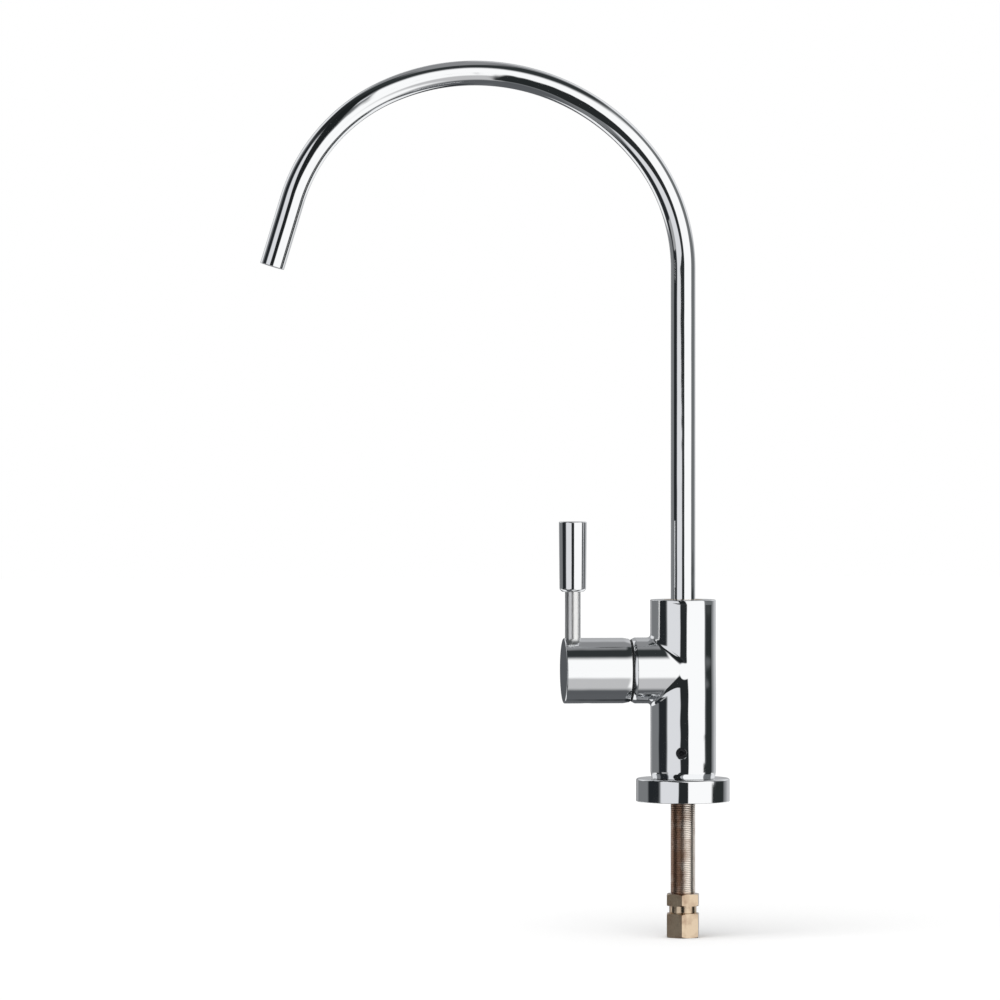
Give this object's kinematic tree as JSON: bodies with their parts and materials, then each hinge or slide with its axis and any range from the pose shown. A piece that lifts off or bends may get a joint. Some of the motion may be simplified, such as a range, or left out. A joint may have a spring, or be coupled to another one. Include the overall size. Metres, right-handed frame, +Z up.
{
  "type": "water tap",
  "caption": "Deck-mounted water tap with a tall swan-neck spout that swivels, a quarter-turn side valve with an upright lever, and a threaded inlet shank.",
  "frame": {"origin": "centre of the base flange's underside, at the level of the worktop", "axes": "+Z up along the body's axis, the spout and the valve reach towards -X, the user stands at -Y"},
  "size_m": [0.1909, 0.038, 0.3555],
  "materials": {
    "chrome_plate": "polished chrome plating on brass",
    "nickel_brass": "turned brass under thin nickel plating, warm grey",
    "brass": "turned, unplated",
    "black_rubber": "moulded, matt",
    "ceramic": "lapped alumina ceramic",
    "black_acetal": "moulded acetal",
    "steel": "stainless, plain"
  },
  "bodies": {
    "root": {"body_casting": "chrome_plate", "base_flange": "chrome_plate", "base_gasket": "black_rubber", "threaded_shank": "nickel_brass", "shank_o_ring": "black_rubber", "shank_grub_screw": "steel", "inlet_connector": "nickel_brass", "compression_nut": "nickel_brass", "ferrule": "brass", "cartridge_housing": "brass", "housing_o_ring": "black_rubber", "seat_seal": "black_rubber", "fixed_disc": "ceramic", "thrust_washer": "black_acetal", "seam_ring": "black_acetal", "spout_glide_ring": "black_acetal", "spout_grub_screw": "steel"},
    "handle": {"handle_cap": "chrome_plate", "lever_stem": "chrome_plate", "lever_grip": "chrome_plate", "handle_grub_screw": "steel", "spindle": "brass", "spindle_o_rings": "black_rubber", "moving_disc": "ceramic", "stop_ring": "brass", "spindle_clip": "steel"},
    "spout": {"spout_tube": "chrome_plate", "spout_bush": "brass", "spout_o_ring_lower": "black_rubber", "spout_o_ring_upper": "black_rubber"}
  },
  "joints": [
    {"name": "handle_turn", "type": "hinge", "parent": "root", "child": "handle", "pos_m": [0, 0, 0.0532], "axis": [1, 0, 0], "range_deg": [0, 90]},
    {"name": "spout_swivel", "type": "hinge", "parent": "root", "child": "spout", "pos_m": [0, 0, 0.082], "axis": [0, 0, 1], "continuous": true}
  ]
}
